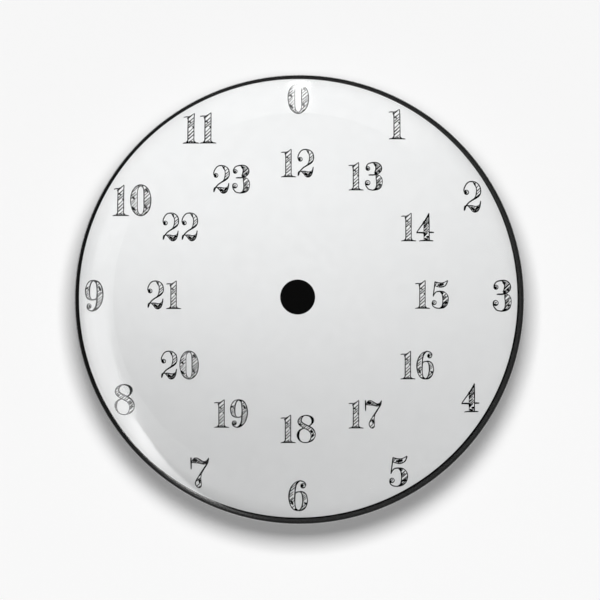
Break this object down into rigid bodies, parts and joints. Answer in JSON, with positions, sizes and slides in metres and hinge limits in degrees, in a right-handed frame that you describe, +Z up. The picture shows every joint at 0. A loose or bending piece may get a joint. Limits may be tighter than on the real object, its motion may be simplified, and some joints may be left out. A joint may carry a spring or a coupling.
{
  "type": "button badge",
  "caption": "Round crimped-metal button badge: a printed twenty-four-hour dial under clear film, a flat back plate, and a stuck-on bar pin with a hinged needle and roll-over catch.",
  "frame": {"origin": "centre of the badge in the plane of its back rim, the plane that lies against the cloth", "axes": "-Y out of the face, +Y towards the cloth and the pin, +Z up to the 0 of the dial, +X to the right as the dial is read"},
  "size_m": [0.058, 0.0116, 0.058],
  "materials": {
    "film": "clear gloss film",
    "print": "matt printed paper",
    "tinplate": "bright rolled tinplate",
    "foam": "white foam tape",
    "nickel": "nickel plate"
  },
  "bodies": {
    "badge": {"clear_film": "film", "printed_disc": "print", "front_shell": "tinplate", "back_plate": "tinplate", "adhesive_pad": "foam", "pin_bar": "nickel", "hinge_rivet": "nickel"},
    "pin_needle": {"needle": "nickel"},
    "catch": {"safety_catch": "nickel"}
  },
  "joints": [
    {"name": "needle_swing", "type": "hinge", "parent": "badge", "child": "pin_needle", "pos_m": [-0.0132, 0.0032, 0.007], "axis": [0, 0, 1], "range_deg": [0, 75]},
    {"name": "catch_turn", "type": "hinge", "parent": "badge", "child": "catch", "pos_m": [0.0132, 0.0032, 0.007], "axis": [-1, 0, 0], "range_deg": [0, 104]}
  ]
}
